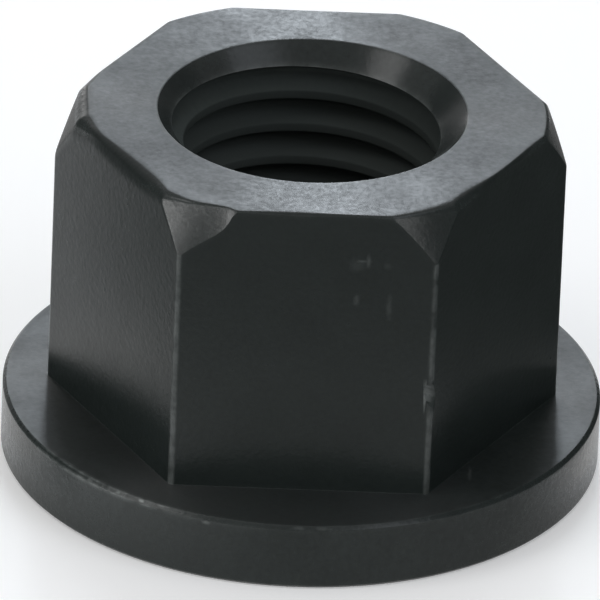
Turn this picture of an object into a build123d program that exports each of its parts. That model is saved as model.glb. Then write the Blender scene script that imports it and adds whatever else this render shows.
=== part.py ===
"""M16 collar nut: a tall steel hexagon on a flat round collar, in one piece, with locking teeth below.

Millimetres. +Z is the thread's axis, pointing from the bearing face to the spanner end.
The origin is the middle of the bearing face, which lies in the plane Z = 0.
"""
from build123d import *
import math
import os

# ---- thread, ISO metric, right-hand ----
THREAD_DIAMETER = 16.0       # major diameter
THREAD_PITCH = 2.0
FLANK_ANGLE = 60.0           # full angle between two flanks of the thread
DEPTH_SHARE = 5 / 8          # thread depth in a nut, as a share of the flanks' sharp triangle
COUNTERSINK_OVER_THREAD = 0.8   # how much wider than the thread each countersink's mouth is
COUNTERSINK_ANGLE = 90.0     # full angle of the cone

# ---- hexagon ----
SIDES = 6
ACROSS_FLATS = 24.0          # 24 mm spanner
HEIGHT = 20.5                # bearing face to spanner end
CORNER_RADIUS = 0.3          # rounding of the six upright edges
CROWN_OVER_FLATS = 1.5       # diameter of the crown's top circle, less the width across flats
CROWN_ANGLE = 69.0           # slope of the crown's cone, up from the level

# ---- collar ----
COLLAR_LEDGE = 2.4           # from the hexagon's corners out to the rim
COLLAR_THICKNESS = 3.75
RIM_CHAMFER = 0.2            # upper and lower edge of the rim
FOOT_RADIUS = 0.2            # hollow between hexagon and collar

# ---- locking teeth in the bearing face ----
TOOTH_COUNT = 36
TOOTH_DEPTH = 0.4            # at the outer end, where they are deepest
TOOTH_CREST = 0.4            # flat left between two tooth spaces, at their outer end
INNER_LAND = 1.6             # plain ring between the lower countersink and the teeth
OUTER_LAND = 0.7             # plain ring between the teeth and the rim's chamfer

# ---- worked out from the sizes above ----
SHARP_TRIANGLE = THREAD_PITCH / 2 / math.tan(math.radians(FLANK_ANGLE / 2))
BORE_RADIUS = THREAD_DIAMETER / 2 - DEPTH_SHARE * SHARP_TRIANGLE
MOUTH_RADIUS = (THREAD_DIAMETER + COUNTERSINK_OVER_THREAD) / 2
COUNTERSINK_DEPTH = (MOUTH_RADIUS - BORE_RADIUS) / math.tan(math.radians(COUNTERSINK_ANGLE / 2))
CORNER_REACH = ACROSS_FLATS / 2 / math.cos(math.pi / SIDES)
CROWN_RADIUS = (ACROSS_FLATS + CROWN_OVER_FLATS) / 2
COLLAR_RADIUS = CORNER_REACH + COLLAR_LEDGE
TEETH_INNER = MOUTH_RADIUS + INNER_LAND
TEETH_OUTER = COLLAR_RADIUS - RIM_CHAMFER - OUTER_LAND


def turned(*points):
    """Revolve a closed outline of (radius, height) points about the axis."""
    outline = make_face(Plane.XZ * Polyline(*points, close=True))
    return revolve(outline, Axis.Z)


def collar():
    """Flat round collar with both edges of its rim chamfered."""
    disc = Cylinder(COLLAR_RADIUS, COLLAR_THICKNESS, align=(Align.CENTER, Align.CENTER, Align.MIN))
    return chamfer(disc.edges().filter_by(GeomType.CIRCLE), RIM_CHAMFER)


def hexagon():
    """Hexagon bar with a flat to the front, its corners turned off in a cone at the top."""
    section = RegularPolygon(ACROSS_FLATS / 2, SIDES, major_radius=False)
    section = fillet(section.vertices(), CORNER_RADIUS)
    bar = extrude(section, HEIGHT)
    crown_drop = (CORNER_REACH - CROWN_RADIUS) * math.tan(math.radians(CROWN_ANGLE))
    envelope = turned(
        (0, 0),
        (CORNER_REACH, 0),
        (CORNER_REACH, HEIGHT - crown_drop),
        (CROWN_RADIUS, HEIGHT),
        (0, HEIGHT),
    )
    return bar & envelope


def foot_edges(body):
    """The closed edge where the hexagon's flats and corners meet the collar."""
    level = body.edges().filter_by_position(Axis.Z, COLLAR_THICKNESS, COLLAR_THICKNESS)
    return level.filter_by(lambda edge: edge.center().length < COLLAR_RADIUS and not edge.is_closed)


def bore():
    """Core of the thread, right through, with a countersink at each end."""
    return turned(
        (0, 0),
        (MOUTH_RADIUS, 0),
        (BORE_RADIUS, COUNTERSINK_DEPTH),
        (BORE_RADIUS, HEIGHT - COUNTERSINK_DEPTH),
        (MOUTH_RADIUS, HEIGHT),
        (0, HEIGHT),
    )


def tooth_space():
    """One space of the ratchet: an upright wall, then a ramp down to the next tooth's crest.

    Both run to the axis, so the space grows wider and deeper outwards. Seen from above the wall is
    at its clockwise end, so the teeth slide as the nut is done up and bite as it is undone.
    """
    span = math.radians(360 / TOOTH_COUNT) - TOOTH_CREST / TEETH_OUTER
    slope = math.atan2(TOOTH_DEPTH, TEETH_OUTER * math.sin(span))
    reach = TEETH_OUTER / math.cos(span)
    sector = make_face(Polyline((0, 0), (reach, -reach * math.tan(span)), (reach, 0), close=True))
    ramp = Plane.XY.rotated((-math.degrees(slope), 0, 0))
    return split(extrude(sector, TOOTH_DEPTH), bisect_by=ramp, keep=Keep.BOTTOM)


def teeth_spaces():
    """The whole ring of tooth spaces, ended by round walls inside and outside."""
    ring = Cylinder(TEETH_OUTER, TOOTH_DEPTH, align=(Align.CENTER, Align.CENTER, Align.MIN))
    ring -= Cylinder(TEETH_INNER, TOOTH_DEPTH, align=(Align.CENTER, Align.CENTER, Align.MIN))
    space = ring & tooth_space()
    return PolarLocations(0, TOOTH_COUNT) * space


def flange_nut():
    """The finished nut: collar and hexagon in one, bored, with its foot hollow and its teeth."""
    body = collar() + hexagon()
    body = fillet(foot_edges(body), FOOT_RADIUS)
    body -= bore()
    return body - teeth_spaces()


os.makedirs("parts", exist_ok=True)
export_step(flange_nut(), "parts/flange_nut.step")
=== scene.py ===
"""Looks for an M16 collar nut in black-oxide steel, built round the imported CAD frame.

Sizes are in millimetres while the nut is shaped, and its mesh is brought to metres at the end.
+Z is the thread's axis, and the bearing face with its teeth lies in the plane Z = 0.
Named azimuths are in degrees from +X towards +Y. The flats face 30, 90, 150, 210, 270 and 330.
"""
import math

import bmesh
import bpy
from mathutils import Matrix, Quaternion, Vector


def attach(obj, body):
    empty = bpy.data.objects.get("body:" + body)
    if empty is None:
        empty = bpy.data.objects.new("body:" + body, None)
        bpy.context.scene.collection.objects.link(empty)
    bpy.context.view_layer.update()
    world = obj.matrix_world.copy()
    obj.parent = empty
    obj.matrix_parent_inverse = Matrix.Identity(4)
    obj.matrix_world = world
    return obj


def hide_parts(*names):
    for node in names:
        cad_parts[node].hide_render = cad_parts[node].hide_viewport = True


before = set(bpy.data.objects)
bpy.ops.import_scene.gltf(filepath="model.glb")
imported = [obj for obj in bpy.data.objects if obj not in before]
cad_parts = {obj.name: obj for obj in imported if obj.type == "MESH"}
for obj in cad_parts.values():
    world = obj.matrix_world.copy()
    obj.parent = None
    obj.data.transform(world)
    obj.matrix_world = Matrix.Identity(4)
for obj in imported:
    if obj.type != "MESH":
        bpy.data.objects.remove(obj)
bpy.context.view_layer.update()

MM = 0.001                      # metres in a millimetre

# ---- thread, ISO metric, right-hand ----
THREAD_DIAMETER = 16.0
PITCH = 2.0
FLANK_HEIGHT = 5 / 8 * PITCH * math.sin(math.radians(60))
CREST_FLAT = PITCH / 4          # of the nut's own thread, at its minor diameter
ROOT_FLAT = PITCH / 8           # at its major diameter
THREAD_ROUND = 0.12             # rounding of both flats' edges
THREAD_START = -2.68            # height of the middle of a crest at azimuth 0, below the nut
TURNS = 13                      # of the tap, so that it stands out at both ends

# ---- hexagon ----
SIDES = 6
FLAT_TO_EDGE = 180 / SIDES      # degrees from the middle of a flat to an upright edge
FLAT_REACH = 12.0               # from the axis to a flat: 24 mm spanner
HEIGHT = 20.5
CORNER_ROUND = 0.3              # the six upright edges
ROUND_MIDDLE = (FLAT_REACH - CORNER_ROUND) / math.cos(math.radians(FLAT_TO_EDGE))   # of that rounding
CROWN_REACH = 12.75             # radius of the crown's top circle
CROWN_SLOPE = 69.0              # of the crown's cone, up from the level
TOP_BREAK = 0.34                # rounding of the edge round the top face
BREAK_CHANGES = (               # azimuths where it grows or shrinks, from, most at and to, and by how much
    (160, 184, 200, 0.8),
    (190, 226, 241, 0.46),
    (232, 250, 270, -0.24),
    (254, 282, 300, -0.2),
    (296, 310, 325, 0.34),
    (316, 330, 350, -0.14),
)
KNOCKS = (                      # azimuths where the crown is knocked back, from, most at and to, and how deep
    (238, 249, 254, 0.36),
    (152, 180, 206, 0.15),
)
SOFT_SIDE = (150, 205, 238)     # azimuths where the crown's lower edge is rounded over: from, most at and to
SOFTENED = 1.3                  # how much larger its radius grows there than the top edge's
FOOT_ROUND = 0.02               # hollow where the hexagon meets the collar, nearly sharp

# ---- collar ----
COLLAR_REACH = 16.25
COLLAR_TOP = 3.75
RIM_CHAMFER = 0.2
RIM_BREAK = 0.06                # edges of the rim's chamfers

# ---- bore ----
COUNTERSINK_OVER_THREAD = 0.8   # how much wider than the thread each countersink's mouth is
MOUTH_REACH = (THREAD_DIAMETER + COUNTERSINK_OVER_THREAD) / 2
MOUTH_BREAK = 0.12
PILOT_REACH = 5.0               # hole in the blank, before the tap goes through

# ---- locking teeth ----
TEETH = 36
TOOTH_DEPTH = 0.4
TOOTH_CREST = 0.4
INNER_LAND = 1.6                # plain ring between the lower countersink and the teeth
OUTER_LAND = 0.7                # plain ring between the teeth and the rim's chamfer
TEETH_INNER = MOUTH_REACH + INNER_LAND
TEETH_OUTER = COLLAR_REACH - RIM_CHAMFER - OUTER_LAND
CUTTER_BELOW = 0.3              # the cutters stand out this far under the bearing face
CUTTER_ABOVE = 1.0              # and reach this high before they are ground to the ramp
CUTTER_PAST = 0.3               # degrees that they run on past the end of the ramp

# ---- a nick in an upright edge ----
NICK_AZIMUTH = 299.0            # just to the left of the front right edge
NICK_HEIGHT = 9.9
NICK_DEPTH = 0.16
NICK_BAR = 1.4                  # radius of what struck it
NICK_BAR_LENGTH = 4.0
NICK_SLANT = 60.0               # its lean from upright

# ---- wear of the blackening ----
EDGE_BEND = 2.5                 # radians a millimetre: where the metal turns so sharply, it is wholly worn
BARE_MOST = 0.15                # how bare the most worn edges are
RIM_WEAR = 0.15                 # the rim's edges get this share of the wear
ROLLED_WEAR = 1.5               # and so much more on the side that it was rolled and knocked on
ROLLED_SIDE = (190, 222, 256)   # azimuths of that side: from, most at and to
SHELTERED_WEAR = 0.1            # share of the wear for the bore's mouth and the crown's edges
NICK_BARE = 2.4                 # the nick is so many times as bare as the most worn edges
NICK_SPREAD = 0.45              # up to this far from its middle
FLAT_MARKS = (                  # where the blackening of the flats is rubbed: middle, half-lengths, how bare
    ((2.95, -12.0, 17.75), (0.5, 0.3, 0.12), 0.09),
    ((3.25, -12.0, 17.75), (0.16, 0.3, 0.55), 0.07),
    ((2.7, -12.0, 17.5), (0.6, 0.3, 0.5), 0.03),
    ((2.68, -12.0, 15.4), (0.2, 0.3, 0.35), 0.06),
    ((4.45, -12.0, 15.0), (0.2, 0.3, 1.0), 0.045),
    ((4.3, -12.0, 17.5), (0.25, 0.3, 0.25), 0.03),
)
RIM_MARKS = (                   # the same on the rim's upper edge
    ((-11.2, -11.7, 3.62), (0.3, 0.3, 0.12), 0.2),
    ((-9.65, -12.95, 3.65), (0.2, 0.2, 0.13), 0.3),
    ((-8.39, -13.8, 3.68), (0.22, 0.2, 0.1), 0.6),
    ((-8.1, -14.08, 3.52), (0.9, 0.5, 0.06), 0.3),
    ((-7.3, -14.4, 3.7), (0.6, 0.3, 0.06), 0.2),
    ((-4.86, -15.5, 3.42), (0.34, 0.2, 0.16), 0.2),
    ((0.1, -16.15, 3.65), (0.5, 0.2, 0.12), 0.08),
    ((1.4, -16.15, 3.65), (0.5, 0.2, 0.12), 0.1),
)
FACE_MARKS = (((9.2, -9.6, 3.75), (0.14, 1.0, 0.4), 0.10),)     # the same on the collar's top
SPECKS = (                      # dark specks in the top face: middle, half-lengths
    ((-5.19, -9.7, 20.5), (0.1, 0.1, 0.1)),
    ((1.32, -9.27, 20.5), (0.1, 0.1, 0.1)),
)

# ---- how large the blackening's patterns are ----
DASHES = 0.9                    # of the wear along an edge
CLOUDS = 3.0                    # where the bath took more and less
GRAIN = 0.3                     # of the steel, drawn coarser than it is so that it shows at this size
BITES = 0.35                    # in the edges of rubbed marks
CLOUD_SHARE = 0.4               # of the film's tone, and the grain gives the rest
BITE_DEPTH = 1.2                # how far the bites reach, in half-lengths of the mark

# ---- how finely the blank is divided ----
COLUMNS = 480
CROWDING = 0.75                 # how far the columns crowd towards the upright edges, from 0 to 1
SUPPORT = 0.2                   # rows stand this far beside each rounded edge
CONE_SUPPORT = 0.7 * SUPPORT    # the same along a countersink, in reach and in height alike
MOUTH_STEPS = 4                 # across each rounding
FOOT_STEPS = 6
RIM_STEPS = 3
THREAD_STEPS = 3
OVER_ROWS = 5                   # over the crown's upper edge
CONE_ROWS = 6                   # down its cone
UNDER_ROWS = 3                  # round its lower edge
ROW_FLOOR = 0.008               # added to the room of each of these rows, so that none closes up
STEPS_A_TURN = 120              # of the thread
WELD = 0.001                    # points of the tap that lie this near each other are one

# ---- how places are told apart, for wear and finishes ----
ON_SURFACE = 0.01               # a point this near a surface lies on it
NO_LENGTH = 1e-4                # an edge of the mesh this short has no direction
RIM_BAND = 1.0                  # the rim's edges lie within this of its outside
MOUTH_BAND = 0.5                # the mouth's edge lies within this of the mouth
CROWN_BAND = 2.8                # the crown's edges lie within this of the top
CROWN_LOWEST = 5.0              # its bevels lie within this of the top
CROWN_START = 0.25              # and this far outside the flats' reach
TOP_EDGE_BAND = 1.5             # the rounding of the top's edge lies within this of the top
MOUTH_CLEAR = 1.0               # and outside this of the mouth
THREAD_INSET = 0.3              # the thread starts this far in
NEAR = 0.05                     # room for the roundings beside a face
CONE_NEAR = 0.1                 # the same beside the countersinks
SAME_SLOPE = 0.02               # normals that differ by less are parallel
UPRIGHT = 0.2                   # faces are upright where their normals rise less than this
BEVEL_RISE = 0.9                # bevels where they rise less than this
LEVEL = 0.98                    # and level where they rise more than this
DEEP = 7.0                      # from so far in, the bore is painted as pale as it gets: painted light against its shade
SHARP_TURN = 28.0               # degrees: faces that meet at more keep a crisp edge between them

# ---- studio, in metres where nothing else is said ----
FLOOR_REACH = 6.0
BOARD_GLOW = 0.2                # what the floor adds where it is seen, to show as white
ROOM_LIGHT = 0.42
LIGHT_DISTANCE = 0.8
MAT_HEIGHT = 0.1                # of flat cards above the floor, in millimetres


# ---------------------------------------------------------------- outline of the blank

def side(azimuth):
    """(reach, lean) of the hexagon's rounded side at an azimuth in radians.

    Reach is its distance from the axis, and lean is how far its face turns from square to the radius.
    """
    # 0 at the middle of a flat, and FLAT_TO_EDGE at an upright edge
    turn = math.radians(abs(math.degrees(azimuth) % (2 * FLAT_TO_EDGE) - FLAT_TO_EDGE))
    tangent = math.atan((FLAT_REACH - CORNER_ROUND) * math.tan(math.radians(FLAT_TO_EDGE)) / FLAT_REACH)
    if turn <= tangent:
        return FLAT_REACH / math.cos(turn), turn
    off = math.radians(FLAT_TO_EDGE) - turn
    sideways = ROUND_MIDDLE * math.sin(off)
    reach = ROUND_MIDDLE * math.cos(off) + math.sqrt(CORNER_ROUND ** 2 - sideways ** 2)
    return reach, math.asin(min(1, sideways / CORNER_ROUND))


def pointing(angle):
    """Unit vector at an angle from the first of a plane's two directions."""
    return Vector((math.cos(angle), math.sin(angle)))


def rounded(before, corner, after, radius, steps):
    """The corner of an outline rounded to a radius: steps + 1 points, both tangent points among them."""
    before, corner, after = Vector(before), Vector(corner), Vector(after)
    one, other = (before - corner).normalized(), (after - corner).normalized()
    half = one.angle(other) / 2
    centre = corner + (one + other).normalized() * radius / math.sin(half)
    start = corner + one * radius / math.tan(half) - centre
    end = corner + other * radius / math.tan(half) - centre
    sweep = start.angle_signed(end)
    return [centre + Matrix.Rotation(-sweep * k / steps, 2) @ start for k in range(steps + 1)]


def straight(start, end, count):
    """A straight stretch of an outline: both ends, and a count of points evenly spaced between them."""
    return [start.lerp(end, k / (count + 1)) for k in range(count + 2)]


def swell(azimuth, start, top, end):
    """Rises smoothly from 0 at one azimuth in degrees to 1 at the next, and falls to 0 at the last."""
    off = (math.degrees(azimuth) - top + 180) % 360 - 180
    rise = max(0.0, 1 - (off / (start - top) if off < 0 else off / (end - top)))
    return rise * rise * (3 - 2 * rise)


def shoulder(azimuth, reach):
    """Points from the top face over the crown to the side, both edges rounded.

    Near the middle of a flat the cone passes outside the hexagon, and one edge is left.
    """
    radius = TOP_BREAK + sum(change * swell(azimuth, *place) for *place, change in BREAK_CHANGES)
    crown = CROWN_REACH - sum(depth * swell(azimuth, *place) for *place, depth in KNOCKS)
    soft = radius + SOFTENED * swell(azimuth, *SOFT_SIDE)       # the lower edge's radius
    slope, up, out = math.radians(CROWN_SLOPE), math.radians(90), math.radians(90 - CROWN_SLOPE)
    square = pointing(out)                                      # square to the cone
    widest = reach - soft * (1 - square.x)                      # where the cone gives way to the lower edge
    inset = radius * (1 - math.cos(slope)) / square.x           # of the upper edge's centre from the crown's
    high = Vector((min(crown - inset, widest - radius * square.x), HEIGHT - radius))
    start = high + square * radius
    end = Vector((widest, start.y - (widest - start.x) * math.tan(slope)))
    low = end - square * soft
    over, cone, under = radius * (up - out), (end - start).length, soft * out
    room = [over / OVER_ROWS] * OVER_ROWS + [cone / CONE_ROWS] * CONE_ROWS + [under / UNDER_ROWS] * UNDER_ROWS
    room = [length + ROW_FLOOR for length in room]
    scale = (over + cone + under) / sum(room)
    points, run = [], 0.0
    for length in [0] + room:
        run += length * scale
        if run <= over:
            points.append(high + pointing(up - run / radius) * radius)
        elif run <= over + cone:
            points.append(start.lerp(end, (run - over) / cone))
        else:
            points.append(low + pointing(out - (run - over - cone) / soft) * soft)
    return points


def outline(azimuth):
    """The blank's closed outline in the half-plane at an azimuth in radians, as (reach, height) points.

    It starts half-way up the pilot hole and runs over the top, down the side and back under the bearing face.
    """
    reach, lean = side(azimuth)
    inner, top = COLLAR_REACH - RIM_CHAMFER, COLLAR_TOP - RIM_CHAMFER
    mouth = rounded(
        (MOUTH_REACH - 1, HEIGHT - 1), (MOUTH_REACH, HEIGHT), (MOUTH_REACH + 1, HEIGHT),
        MOUTH_BREAK, MOUTH_STEPS)
    over = shoulder(azimuth, reach)
    foot = rounded(
        (reach, COLLAR_TOP + 2), (reach, COLLAR_TOP), (reach + 2, COLLAR_TOP), FOOT_ROUND, FOOT_STEPS)
    foot = [Vector((reach + (p.x - reach) / math.cos(lean), p.y)) for p in foot]
    upper = rounded((0, COLLAR_TOP), (inner, COLLAR_TOP), (COLLAR_REACH, top), RIM_BREAK, RIM_STEPS)
    # the middle of the chamfer, which keeps the wear of its two edges apart
    upper.append(Vector((COLLAR_REACH - RIM_CHAMFER / 2, COLLAR_TOP - RIM_CHAMFER / 2)))
    upper += rounded((inner, COLLAR_TOP), (COLLAR_REACH, top), (COLLAR_REACH, 0), RIM_BREAK, RIM_STEPS)
    lower = rounded((COLLAR_REACH, top), (COLLAR_REACH, RIM_CHAMFER), (inner, 0), RIM_BREAK, RIM_STEPS)
    lower += rounded((COLLAR_REACH, RIM_CHAMFER), (inner, 0), (0, 0), RIM_BREAK, RIM_STEPS)
    vent = rounded((MOUTH_REACH + 1, 0), (MOUTH_REACH, 0), (MOUTH_REACH - 1, 1), MOUTH_BREAK, MOUTH_STEPS)
    aside, down = Vector((SUPPORT, 0)), Vector((0, -SUPPORT))
    face = straight(mouth[-1] + aside, over[0] - aside, count=4)
    wall = straight(over[-1] + down, foot[0] - down, count=5)
    ledge = straight(foot[-1] + aside, upper[0] - aside, count=1)
    rim = straight(upper[-1] + down, lower[0] - down, count=2)
    bearing = straight(lower[-1] - aside, vent[0] + aside, count=0)
    meeting = MOUTH_REACH - PILOT_REACH         # how far in the countersinks meet the pilot hole
    pilot_top = [
        Vector((PILOT_REACH, HEIGHT / 2)), Vector((PILOT_REACH, HEIGHT - meeting)),
        mouth[0] - Vector((CONE_SUPPORT, CONE_SUPPORT))]
    pilot_bottom = [vent[-1] + Vector((-CONE_SUPPORT, CONE_SUPPORT)), Vector((PILOT_REACH, meeting))]
    return (
        pilot_top + mouth + face + over + wall + foot + ledge + upper + rim + lower + bearing + vent
        + pilot_bottom)


# ---------------------------------------------------------------- the nut

def everything(bm):
    """All points, edges and faces of a bmesh."""
    return bm.verts[:] + bm.edges[:] + bm.faces[:]


def spin(bm, geometry, angle, steps, rise=0.0, **settings):
    """Sweep geometry round the thread's axis by an angle, or repeat it, rising by so much at each step."""
    bmesh.ops.spin(
        bm, geom=geometry, cent=(0, 0, 0), axis=(0, 0, 1), dvec=(0, 0, rise), angle=angle, steps=steps,
        **settings)


def close(bm):
    """Fill the open ends of a bmesh."""
    bmesh.ops.holes_fill(bm, edges=[edge for edge in bm.edges if edge.is_boundary], sides=0)


def turned_blank():
    """Nut blank: a ring of outlines spun round the axis, then each column moved in to the hexagon's side."""
    bm = bmesh.new()
    row = bm.verts.layers.int.new("row")
    chain = [bm.verts.new((p.x, 0, p.y)) for p in outline(0)]
    for number, vert in enumerate(chain):
        vert[row] = number
    loop = [bm.edges.new((vert, chain[k - 1])) for k, vert in enumerate(chain)]
    spin(bm, chain + loop, math.tau, COLUMNS, use_merge=True)
    milled = {}
    for vert in bm.verts:
        column = round(math.atan2(vert.co.y, vert.co.x) * COLUMNS / math.tau) % COLUMNS
        if column not in milled:
            even = column * math.tau / COLUMNS
            azimuth = even - CROWDING / SIDES * math.sin(SIDES * even)
            milled[column] = azimuth, outline(azimuth)
        azimuth, section = milled[column]
        point = section[vert[row]]
        vert.co = (point.x * math.cos(azimuth), point.x * math.sin(azimuth), point.y)
    return finished(bm, "nut_blank")


def tap():
    """The tap that cuts the thread: one pitch of its profile wound up the axis, with its ends closed."""
    bm = bmesh.new()
    minor, major = THREAD_DIAMETER / 2 - FLANK_HEIGHT, THREAD_DIAMETER / 2
    flank = (PITCH - CREST_FLAT - ROOT_FLAT) / 2
    low, high = CREST_FLAT / 2, CREST_FLAT / 2 + flank
    crest = rounded((0, minor), (low, minor), (high, major), THREAD_ROUND, THREAD_STEPS)
    root = rounded((low, minor), (high, major), (high + ROOT_FLAT, major), THREAD_ROUND, THREAD_STEPS)
    half = [Vector((0, minor))] + crest + root
    profile = half + [Vector((PITCH / 2, major))] + [Vector((PITCH - p.x, p.y)) for p in reversed(half)]
    chain = [bm.verts.new((p.y, 0, p.x + THREAD_START)) for p in profile]
    edges = [bm.edges.new(pair) for pair in zip(chain, chain[1:])]
    spin(bm, chain + edges, math.tau, STEPS_A_TURN, rise=PITCH / STEPS_A_TURN)
    spin(bm, everything(bm), 0, TURNS - 1, rise=PITCH, use_duplicate=True)
    bmesh.ops.remove_doubles(bm, verts=bm.verts, dist=WELD)
    close(bm)
    return finished(bm, "tap")


def tooth_cutters():
    """Angle cutters for the spaces between the teeth: an upright wall, then a ramp to the next crest."""
    bm = bmesh.new()
    span = math.tau / TEETH - TOOTH_CREST / TEETH_OUTER
    slope = math.atan2(TOOTH_DEPTH, TEETH_OUTER * math.sin(span))
    chain = [
        bm.verts.new((reach, 0, height)) for reach, height in (
            (TEETH_INNER, -CUTTER_BELOW), (TEETH_OUTER, -CUTTER_BELOW),
            (TEETH_OUTER, CUTTER_ABOVE), (TEETH_INNER, CUTTER_ABOVE))]
    face = bm.faces.new(chain)
    bmesh.ops.rotate(bm, verts=chain, cent=(0, 0, 0), matrix=Matrix.Rotation(-span, 3, "Z"))
    spin(bm, chain + face.edges[:] + [face], span + math.radians(CUTTER_PAST), steps=8)
    bmesh.ops.recalc_face_normals(bm, faces=bm.faces)
    ramp = Matrix.Rotation(-slope, 3, "X") @ Vector((0, 0, 1))
    bmesh.ops.bisect_plane(bm, geom=everything(bm), plane_co=(0, 0, 0), plane_no=ramp, clear_outer=True)
    close(bm)
    spin(bm, everything(bm), math.tau * (TEETH - 1) / TEETH, TEETH - 1, use_duplicate=True)
    return finished(bm, "tooth_cutters")


def nick():
    """The corner of something that struck the front right edge: a short bar laid slantwise across it."""
    bm = bmesh.new()
    bmesh.ops.create_cone(
        bm, cap_ends=True, segments=48, radius1=NICK_BAR, radius2=NICK_BAR, depth=NICK_BAR_LENGTH)
    tip = ROUND_MIDDLE + CORNER_ROUND
    lay = Matrix.Rotation(math.radians(NICK_AZIMUTH), 4, "Z")
    lay = lay @ Matrix.Translation((tip + NICK_BAR - NICK_DEPTH, 0, NICK_HEIGHT))
    lay = lay @ Matrix.Rotation(math.radians(NICK_SLANT), 4, "X")
    bmesh.ops.transform(bm, verts=bm.verts, matrix=lay)
    return finished(bm, "nick")


def finished(bm, name):
    """A scene object from a bmesh, its faces turned outwards."""
    bmesh.ops.recalc_face_normals(bm, faces=bm.faces)
    if bm.calc_volume(signed=True) < 0:
        bmesh.ops.reverse_faces(bm, faces=bm.faces)
    mesh = bpy.data.meshes.new(name)
    bm.to_mesh(mesh)
    bm.free()
    piece = bpy.data.objects.new(name, mesh)
    bpy.context.scene.collection.objects.link(piece)
    return piece


def cut(piece, *tools):
    """The piece's mesh with the tools' shapes cut away. The tools are used up."""
    for tool in tools:
        step = piece.modifiers.new(tool.name, "BOOLEAN")
        step.operation, step.solver, step.object = "DIFFERENCE", "EXACT", tool
    shaped = piece.evaluated_get(bpy.context.evaluated_depsgraph_get())
    mesh = bpy.data.meshes.new_from_object(shaped)
    piece.modifiers.clear()
    piece.data = mesh
    for tool in tools:
        bpy.data.objects.remove(tool)


def outward_bends(mesh):
    """How sharply the metal turns outwards at each vertex: 1 at EDGE_BEND, and 0 on faces and in hollows."""
    bends = [0.0] * len(mesh.vertices)
    normals = [Vector(normal.vector) for normal in mesh.vertex_normals]
    for edge in mesh.edges:
        one, other = edge.vertices
        run = mesh.vertices[one].co - mesh.vertices[other].co
        if run.length > NO_LENGTH:
            bend = (normals[one] - normals[other]).dot(run) / run.length_squared
            amount = min(1.0, max(0.0, bend / EDGE_BEND))
            bends[one], bends[other] = max(bends[one], amount), max(bends[other], amount)
    return bends


def worn_edges(piece):
    """Give every vertex a number for wear: how sharply it bends outwards, made more or less by its place."""
    worn = outward_bends(piece.data)
    azimuth = math.radians(NICK_AZIMUTH)
    struck = pointing(azimuth).to_3d() * side(azimuth)[0]
    struck.z = NICK_HEIGHT
    for number, vert in enumerate(piece.data.vertices):
        reach, height = math.hypot(vert.co.x, vert.co.y), vert.co.z
        if reach > COLLAR_REACH - RIM_BAND:
            rolled = RIM_WEAR + ROLLED_WEAR * swell(math.atan2(vert.co.y, vert.co.x), *ROLLED_SIDE)
            worn[number] *= rolled if height > COLLAR_TOP / 2 else RIM_WEAR
            if abs(height - COLLAR_TOP + RIM_CHAMFER / 2) < ON_SURFACE:
                worn[number] = 0.0          # the middle of the upper chamfer, which nothing rubs
        elif (vert.co - struck).length < NICK_SPREAD:
            worn[number] = NICK_BARE
        elif height < HEIGHT - THREAD_INSET and abs(MOUTH_REACH - reach - (HEIGHT - height)) < ON_SURFACE:
            worn[number] = 1.0              # where the upper countersink ends in the thread
        elif reach < MOUTH_REACH + MOUTH_BAND or height > HEIGHT - CROWN_BAND:
            worn[number] *= SHELTERED_WEAR
    piece.data.attributes.new("worn", "FLOAT", "POINT").data.foreach_set("value", worn)


def depths(piece):
    """Give every vertex a number for how far down the bore it lies: 0 at either end, and 1 from DEEP on."""
    deep = [min(1.0, max(0.0, min(vert.co.z, HEIGHT - vert.co.z) / DEEP)) for vert in piece.data.vertices]
    piece.data.attributes.new("depth", "FLOAT", "POINT").data.foreach_set("value", deep)


FACED, FLATS, THREAD, RIM_AND_CROWN, COUNTERSINK = range(5)     # the nut's finishes


def finish_of(face):
    """The finish that the tool which made a face left on it, told by the face's place and slope."""
    reach, height, rise = math.hypot(face.center.x, face.center.y), face.center.z, face.normal.z
    aslant = abs(face.normal.x * face.center.y - face.normal.y * face.center.x) > SAME_SLOPE * reach
    halfway = abs(abs(rise) - math.sqrt(0.5)) < SAME_SLOPE      # at 45 degrees
    if reach < MOUTH_REACH + CONE_NEAR and halfway and not aslant:
        return COUNTERSINK
    if height > HEIGHT - CROWN_LOWEST and reach > FLAT_REACH + CROWN_START and UPRIGHT < rise < BEVEL_RISE:
        return RIM_AND_CROWN
    if reach > COLLAR_REACH - RIM_CHAMFER:
        return RIM_AND_CROWN
    if height > COLLAR_TOP + NEAR and abs(rise) < UPRIGHT and reach > MOUTH_REACH:
        return FLATS
    if height > HEIGHT - TOP_EDGE_BAND and reach > MOUTH_REACH + MOUTH_CLEAR and rise < LEVEL:
        return FLATS
    if reach < THREAD_DIAMETER / 2 + NEAR and THREAD_INSET < height < HEIGHT - THREAD_INSET:
        return THREAD
    return FACED


nut = turned_blank()
cut(nut, tap(), tooth_cutters(), nick())
worn_edges(nut)
depths(nut)
nut.data.polygons.foreach_set("material_index", [finish_of(face) for face in nut.data.polygons])
nut.data.polygons.foreach_set("use_smooth", [True] * len(nut.data.polygons))
nut.data.transform(Matrix.Scale(MM, 4))
nut.data.set_sharp_from_angle(angle=math.radians(SHARP_TURN))
nut.name = nut.data.name = "nut"
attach(nut, "root")
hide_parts("flange_nut")


# ---------------------------------------------------------------- materials

def linear(colour):
    """Linear RGBA of an sRGB hex colour."""
    parts = [int(colour[k:k + 2], 16) / 255 for k in (1, 3, 5)]
    return [c / 12.92 if c <= 0.04045 else ((c + 0.055) / 1.055) ** 2.4 for c in parts] + [1.0]


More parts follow.
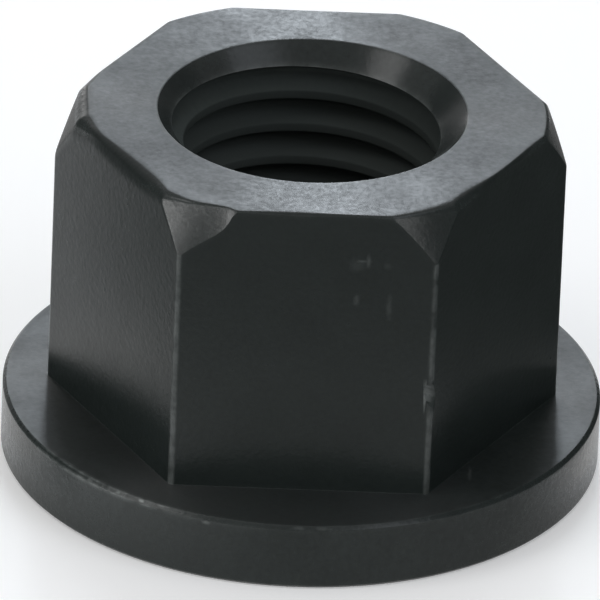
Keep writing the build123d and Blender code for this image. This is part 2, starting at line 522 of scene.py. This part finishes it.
def add(material, kind, sockets=None, **settings):
    """A node of that kind with its settings, and each socket given a value or another node's output."""
    node = material.node_tree.nodes.new("ShaderNode" + kind)
    for name, value in settings.items():
        setattr(node, name, value)
    for name, value in (sockets or {}).items():
        if isinstance(value, bpy.types.NodeSocket):
            material.node_tree.links.new(value, node.inputs[name])
        else:
            node.inputs[name].default_value = value
    return node


def blank_material(name):
    """A material with no nodes yet."""
    material = bpy.data.materials.new(name)
    material.use_nodes = True
    material.node_tree.nodes.clear()
    return material


def patches(material, place, size, low, high):
    """Soft patches of a size in millimetres, from 0 to 1 as their noise goes from low to high."""
    noise = add(material, "TexNoise", {
        "Vector": place, "Scale": 1 / (size * MM), "Detail": 4.0, "Roughness": 0.6}).outputs["Fac"]
    return add(material, "MapRange", {"Value": noise, "From Min": low, "From Max": high}).outputs["Result"]


def mark(material, place, middle, half, amount):
    """One soft mark with ragged edges, amount at its middle and 0 outside it. It is placed in millimetres."""
    bites = add(material, "TexNoise", {
        "Vector": place, "Scale": 1 / (BITES * MM), "Detail": 2.0}).outputs["Color"]
    moved = add(material, "VectorMath", {0: bites, 1: [0.5] * 3}, operation="SUBTRACT").outputs[0]
    depth = [BITE_DEPTH * length * MM for length in half]
    moved = add(material, "VectorMath", {0: moved, 1: depth, 2: place}, operation="MULTIPLY_ADD").outputs[0]
    inside = add(material, "Mapping", {
        "Vector": moved, "Location": [part * MM for part in middle],
        "Scale": [length * MM for length in half]}, vector_type="TEXTURE").outputs["Vector"]
    away = add(material, "VectorMath", {0: inside}, operation="LENGTH").outputs["Value"]
    return add(material, "MapRange", {
        "Value": away, "From Min": 1.0, "From Max": 0.2, "To Max": amount}).outputs["Result"]


def worn_through(material, place, narrowing):
    """How bare the edges are. The film wears in dashes, not in an even line."""
    worn = add(material, "Attribute", attribute_name="worn").outputs["Fac"]
    dashes = patches(material, place, DASHES, low=0.3, high=0.6)
    worn = add(material, "Math", {0: worn, 1: narrowing}, operation="POWER").outputs[0]
    bare = add(material, "Math", {0: worn, 1: dashes}, operation="MULTIPLY").outputs[0]
    return add(material, "Math", {0: bare, 1: BARE_MOST}, operation="MULTIPLY").outputs[0]


def clouded(material, place):
    """The film's tone from 0 to 1: clouds where the bath took more and less, and the steel's grain."""
    clouds = patches(material, place, CLOUDS, low=0.25, high=0.75)
    grain = patches(material, place, GRAIN, low=0.25, high=0.75)
    grain = add(material, "Math", {0: grain, 1: 1 - CLOUD_SHARE}, operation="MULTIPLY").outputs[0]
    return add(material, "Math", {0: clouds, 1: CLOUD_SHARE, 2: grain}, operation="MULTIPLY_ADD").outputs[0]


def black_oxide(name, dark, light, roughness, unevenness, rings=0.0, oil=1.42, narrowing=1.0, tooling=0.02,
                painted_deep_light=None, rubbed=(), specks=()):
    """Steel blackened in a hot salt bath and oiled: a thin dark film over tool marks, grey where worn off.

    Dark and light are the film's colours, and unevenness is how far its roughness strays. Rings is how much
    the rings of turning draw out its highlights, and oil is its IOR. Narrowing thins the worn lines, and
    tooling is the depth of the tool's marks in millimetres. The deep colour, when given, is painted over the
    film further down the bore: painted light, paler there to lift the bore's shade.
    """
    material = blank_material(name)
    place = add(material, "TexCoord").outputs["Object"]
    bare = worn_through(material, place, narrowing)
    tone = clouded(material, place)
    dark, light = linear(dark), linear(light)
    film = add(material, "MixRGB", {"Fac": tone, "Color1": dark, "Color2": light}).outputs["Color"]
    if painted_deep_light:     # painted light: the film is painted paler further down the bore, to lift its shade
        deep = add(material, "Attribute", attribute_name="depth").outputs["Fac"]
        painted_light_colour = linear(painted_deep_light)
        film = add(material, "MixRGB", {"Fac": deep, "Color1": film, "Color2": painted_light_colour}).outputs["Color"]
    for middle, half, amount in rubbed:
        rub = mark(material, place, middle, half, amount)
        bare = add(material, "Math", {0: rub, 1: bare}, operation="MAXIMUM").outputs[0]
    steel = linear("#8d9290")
    colour = add(material, "MixRGB", {"Fac": bare, "Color1": film, "Color2": steel}).outputs["Color"]
    for middle, half in specks:
        speck = mark(material, place, middle, half, 1.0)
        soot = linear("#050606")
        colour = add(material, "MixRGB", {"Fac": speck, "Color1": colour, "Color2": soot}).outputs["Color"]
    rough = add(material, "MapRange", {
        "Value": tone, "To Min": roughness + unevenness, "To Max": roughness - unevenness}).outputs["Result"]
    # tool marks and grain under the film, drawn coarser than they are so that they show at this size
    marks = add(material, "TexNoise", {
        "Vector": place, "Scale": 1 / (GRAIN * MM), "Detail": 3.0, "Roughness": 0.5}).outputs["Fac"]
    bump = add(material, "Bump", {"Height": marks, "Strength": 0.35, "Distance": tooling * MM})
    surface = add(material, "BsdfPrincipled", {
        "Base Color": colour, "Roughness": rough, "IOR": oil,
        "Anisotropic": rings, "Anisotropic Rotation": 0.25, "Normal": bump.outputs["Normal"]})
    if rings:
        round_axis = add(material, "Tangent", direction_type="RADIAL", axis="Z").outputs["Tangent"]
        material.node_tree.links.new(round_axis, surface.inputs["Tangent"])
    add(material, "OutputMaterial", {"Surface": surface.outputs["BSDF"]})
    return material


# in the order of FACED, FLATS, THREAD, RIM_AND_CROWN and COUNTERSINK
for finish in (
    # faced on a lathe: fine rings draw every highlight out across them
    black_oxide("faced_black_oxide", "#131817", "#282d2c", 0.38, 0.10, rings=0.97, oil=1.5,
                rubbed=FACE_MARKS, specks=SPECKS),
    # drawn bar: smooth, even and darkest
    black_oxide("flats_black_oxide", "#111615", "#1c2120", 0.30, 0.04, tooling=0.04, rubbed=FLAT_MARKS),
    # tapped: dull; painted paler than the rest and paler still further down, as painted light lifting the
    # bore's shade
    black_oxide("thread_black_oxide", "#242928", "#2e3332", 0.9, 0.02, oil=1.2, narrowing=8.0,
                painted_deep_light="#464b49"),
    # turned with a coarser tool: uneven in gloss, with some draw to its highlights
    black_oxide("rim_and_crown_black_oxide", "#121716", "#242928", 0.28, 0.08, rings=0.3, tooling=0.05,
                rubbed=RIM_MARKS),
    # cut by a smooth cone: the glossiest
    black_oxide("countersink_black_oxide", "#121716", "#232827", 0.24, 0.03, rings=0.5, narrowing=8.0),
):
    nut.data.materials.append(finish)


# ---------------------------------------------------------------- floor, light and camera

def studio_floor():
    """A round white board that the nut stands on. It shows white, and keeps the nut's shadow."""
    bm = bmesh.new()
    bmesh.ops.create_circle(bm, cap_ends=True, segments=64, radius=FLOOR_REACH)
    floor = finished(bm, "floor")
    material = blank_material("matt_white_board")
    path = add(material, "LightPath").outputs
    seen = add(material, "Math", {
        0: path["Is Camera Ray"], 1: path["Is Glossy Ray"]}, operation="MAXIMUM").outputs[0]
    seen = add(material, "Math", {0: seen, 1: path["Is Transmission Ray"]}, operation="MAXIMUM").outputs[0]
    lift = add(material, "Math", {0: seen, 1: BOARD_GLOW}, operation="MULTIPLY").outputs[0]
    board = add(material, "BsdfDiffuse", {"Color": linear("#f2f2f2")}).outputs[0]
    glow = add(material, "Emission", {"Color": linear("#ffffff"), "Strength": lift}).outputs[0]
    both = add(material, "AddShader", {0: board, 1: glow}).outputs[0]
    add(material, "OutputMaterial", {"Surface": both})
    floor.data.materials.append(material)


def soft_light(name, azimuth, elevation, width, height, radiance, colour="#ffffff", lean=0.0):
    """A rectangular soft light facing the nut, angles in degrees. Seen from the nut, it leans clockwise."""
    data = bpy.data.lights.new(name, "AREA")
    data.shape, data.size, data.size_y = "RECTANGLE", width, height
    data.energy = radiance * math.pi * width * height
    data.color = linear(colour)[:3]
    light = bpy.data.objects.new(name, data)
    turn, rise = math.radians(azimuth), math.radians(elevation)
    towards = Vector((math.cos(turn) * math.cos(rise), math.sin(turn) * math.cos(rise), math.sin(rise)))
    light.location = towards * LIGHT_DISTANCE
    light.rotation_mode = "QUATERNION"
    roll = Quaternion((0, 0, 1), math.radians(lean))
    light.rotation_quaternion = towards.to_track_quat("Z", "Y") @ roll
    light.visible_camera = False
    bpy.context.scene.collection.objects.link(light)


def card(name, start, end, colour, height=0.0, fade=0.1):
    """A glowing card that only reflections show, as a painted reflection: upright from one point to another,
    or flat between them.

    Its sizes are in millimetres. Its ends and its top or back edge fade out over a share of its size.
    """
    bm = bmesh.new()
    bm.loops.layers.uv.new("UVMap")
    bmesh.ops.create_grid(bm, x_segments=1, y_segments=1, size=0.5, calc_uvs=True)
    for vert in bm.verts:
        along, up = vert.co.x + 0.5, vert.co.y + 0.5
        foot = Vector(start).lerp(Vector(end), along)
        if height:
            vert.co = Vector((foot.x, foot.y, up * height)) * MM
        else:
            vert.co = Vector((foot.x, start[1] + (end[1] - start[1]) * up, MAT_HEIGHT)) * MM
    piece = finished(bm, name)
    material = blank_material(name)
    place = add(material, "UVMap", uv_map="UVMap").outputs["UV"]
    place = add(material, "SeparateXYZ", {"Vector": place}).outputs
    off = add(material, "Math", {0: place["X"], 1: 0.5}, operation="SUBTRACT").outputs[0]
    off = add(material, "Math", {0: off}, operation="ABSOLUTE").outputs[0]
    ends = add(material, "MapRange", {
        "Value": off, "From Min": 0.5, "From Max": 0.5 - fade}, interpolation_type="SMOOTHSTEP")
    back = add(material, "MapRange", {
        "Value": place["Y"], "From Min": 1.0, "From Max": 1.0 - fade}, interpolation_type="SMOOTHSTEP")
    solid = add(material, "Math", {
        0: ends.outputs["Result"], 1: back.outputs["Result"]}, operation="MULTIPLY").outputs[0]
    # painted reflection: the card glows with its own colour, and no lamp lights it
    board = add(material, "Emission", {"Color": linear(colour)}).outputs[0]
    clear = add(material, "BsdfTransparent").outputs[0]
    shown = add(material, "MixShader", {0: solid, 1: clear, 2: board}).outputs[0]
    add(material, "OutputMaterial", {"Surface": shown})
    piece.data.materials.append(material)
    piece.visible_camera = piece.visible_diffuse = piece.visible_shadow = False


def room():
    """An even white room round the nut."""
    world = bpy.data.worlds.new("room")
    world.use_nodes = True
    walls = world.node_tree.nodes["Background"].inputs
    walls["Color"].default_value = linear("#ffffff")
    walls["Strength"].default_value = ROOM_LIGHT
    bpy.context.scene.world = world


def camera():
    """A long lens from in front and above, so upright edges look nearly parallel."""
    place = Vector((-3.608, -845.074, 459.225)) * MM
    right, up = Vector((0.99925, 0.01509, 0.03571)), Vector((-0.03861, 0.47006, 0.88179))
    data = bpy.data.cameras.new("camera")
    data.lens, data.sensor_width = 1060.1, 36.0
    data.clip_start, data.clip_end = 0.1, 20.0
    seat = bpy.data.objects.new("camera", data)
    back = right.cross(up).normalized()
    up = back.cross(right).normalized()
    seat.matrix_world = Matrix((right, up, back)).transposed().to_4x4()
    seat.location = place
    bpy.context.scene.collection.objects.link(seat)
    bpy.context.scene.camera = seat


studio_floor()
# Painted reflections: cards that glow with their own colour and show only in the nut's reflections. The dark
# and grey ones paint shade into what the nut mirrors, and the white ones paint a bright floor.
card("right_card", (21, -28), (21, 18), "#4a4e4d", height=40, fade=0.15)
card("left_card", (-16, -12), (-35, 10), "#282b2a", height=28, fade=0.15)
card("left_mat_painted_reflection", (-27, -6), (-16.5, 8), "#ffffff", fade=0.25)
card("right_mat_painted_reflection", (16.5, -6), (21, 8), "#ffffff", fade=0.25)
card("front_card", (-60, -36), (60, -36), "#868686", height=24)
card("front_mat_painted_reflection", (-12, -36), (26, -4), "#b8b8b8", fade=0.25)
card("back_left_card", (-60, 34), (4, 34), "#b0b0b0", height=12)
card("back_right_card", (-4, 34), (60, 34), "#8a8a8a", height=12)
card("far_left_card", (-290, 100), (-200, 250), "#585858", height=230, fade=0.25)
card("far_right_card", (80, 330), (330, 40), "#5a5a5a", height=230, fade=0.2)
# azimuth, elevation, width, height and radiance
soft_light("back_light", 90, 36, 0.06, 1.0, 11.2, "#edf6ff", lean=2.5)
soft_light("back_wide_light", 90, 36, 0.26, 1.0, 0.8, "#edf6ff", lean=2.5)
soft_light("top_light", 90, 72, 0.5, 0.5, 0.7)
soft_light("left_low_light", 222, 6, 1.05, 0.15, 8.8)
soft_light("left_back_light", 112, 12, 0.14, 0.3, 2.2)
soft_light("left_high_light", 198, 48, 0.3, 0.25, 3.0)
soft_light("right_light", -33, 43, 0.5, 0.5, 1.2, "#eef4ff")
soft_light("right_low_light", -45, 8, 0.5, 0.25, 2.8)
room()
camera()
bpy.context.scene.view_settings.view_transform = "Standard"
